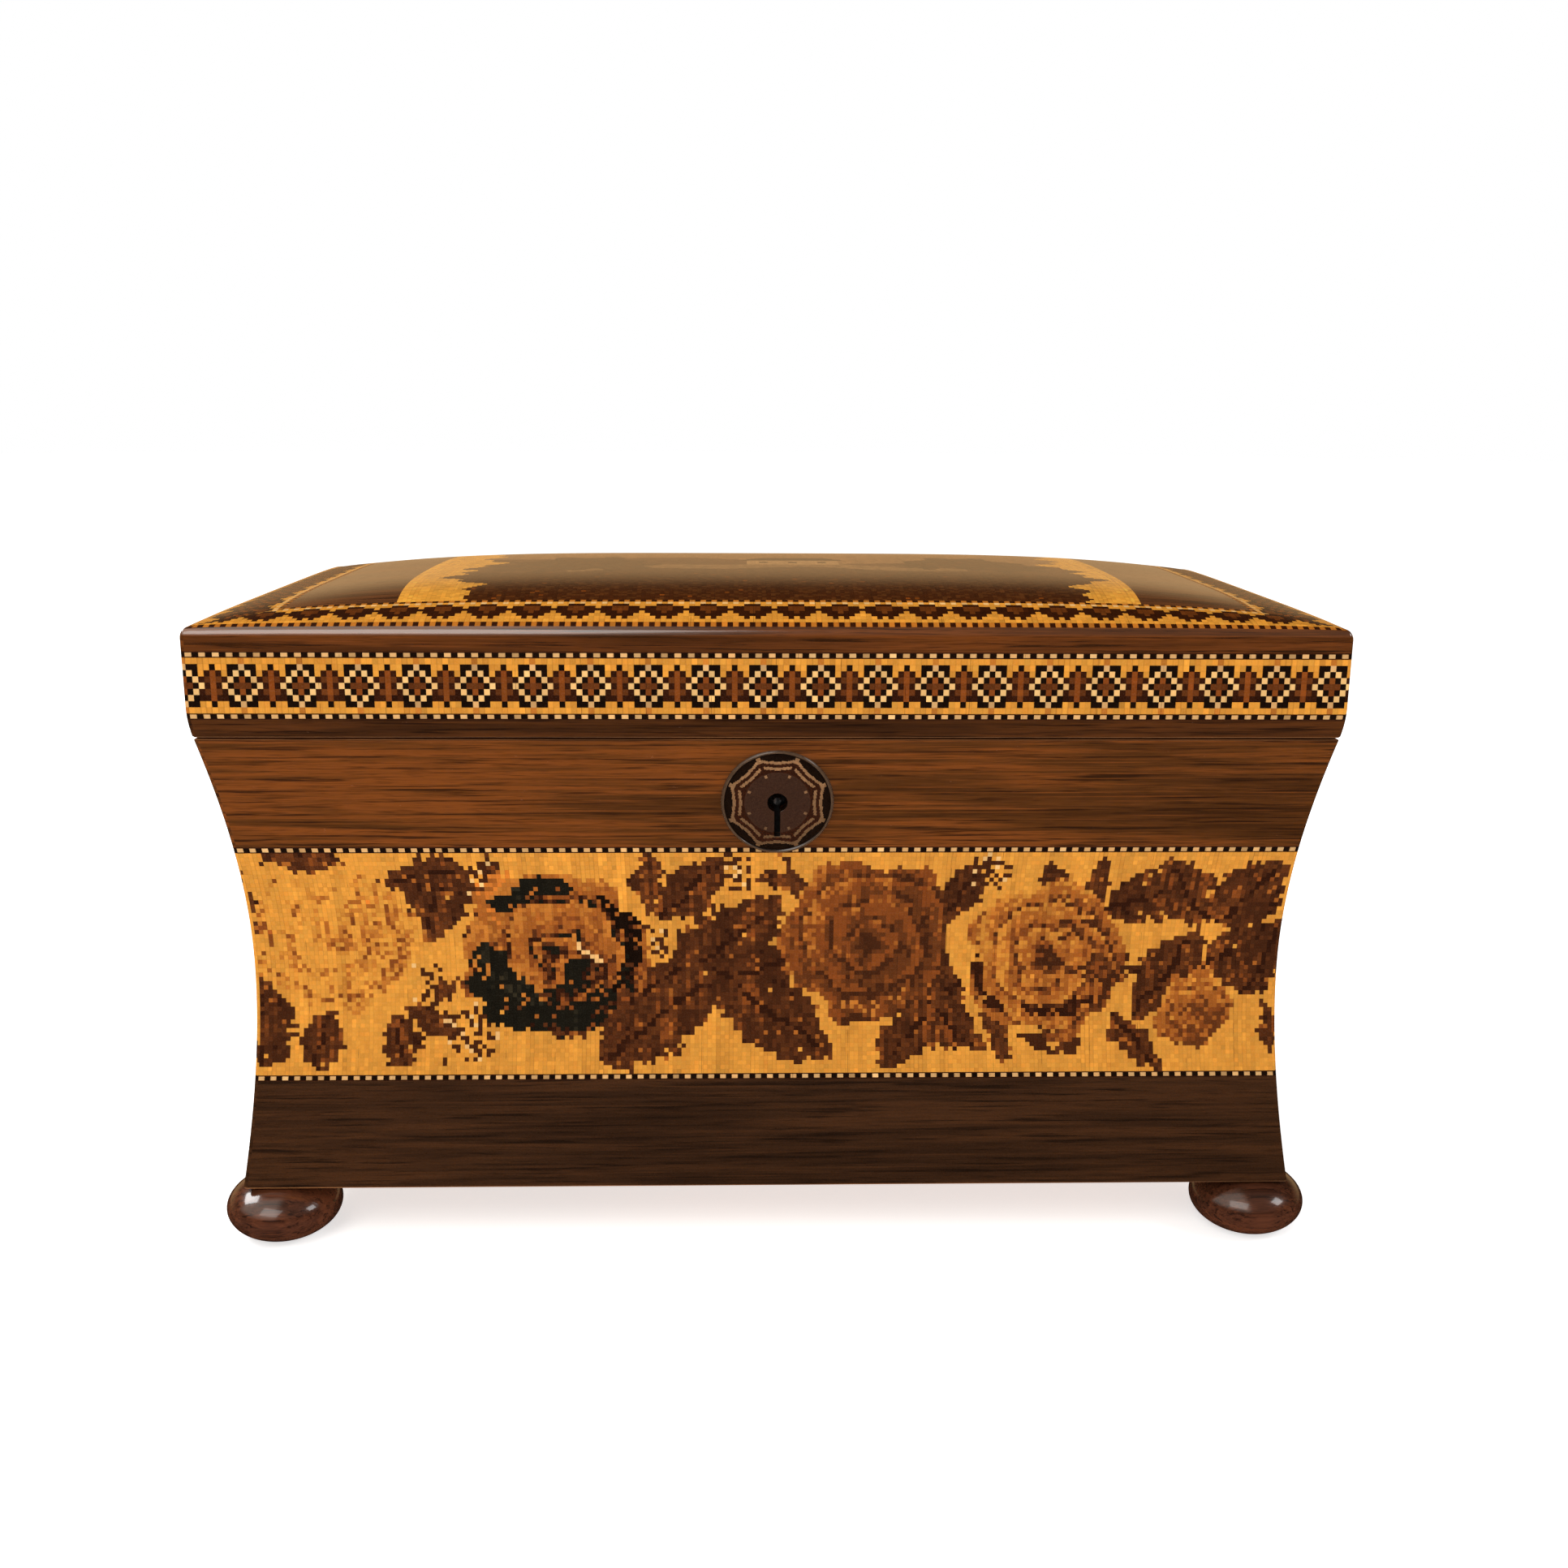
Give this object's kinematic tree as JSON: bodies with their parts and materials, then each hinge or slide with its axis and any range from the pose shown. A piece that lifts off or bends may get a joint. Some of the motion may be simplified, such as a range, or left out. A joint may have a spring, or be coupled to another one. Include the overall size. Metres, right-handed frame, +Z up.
{
  "type": "tea caddy",
  "caption": "Rectangular wooden tea caddy with waisted sides, inlaid mosaic bands, a cushion lid that lifts off, a round keyhole escutcheon and bun feet.",
  "frame": {"origin": "on the surface that the feet stand on, under the middle of the box", "axes": "+X to the right along the long side, +Y to the back, +Z up; the front with the keyhole faces -Y"},
  "size_m": [0.2456, 0.1296, 0.1457],
  "materials": {
    "box_veneer": "polished rosewood veneer with bands of end-grain mosaic",
    "lid_veneer": "polished rosewood veneer with mosaic bands and an inlaid picture",
    "feet": "turned and polished rosewood",
    "escutcheon": "turned stickware, polished",
    "lock": "dull steel"
  },
  "bodies": {
    "root": {"box": "box_veneer", "lid": "lid_veneer", "foot_front_left": "feet", "foot_front_right": "feet", "foot_back_left": "feet", "foot_back_right": "feet", "escutcheon": "escutcheon", "lock": "lock"}
  },
  "joints": []
}
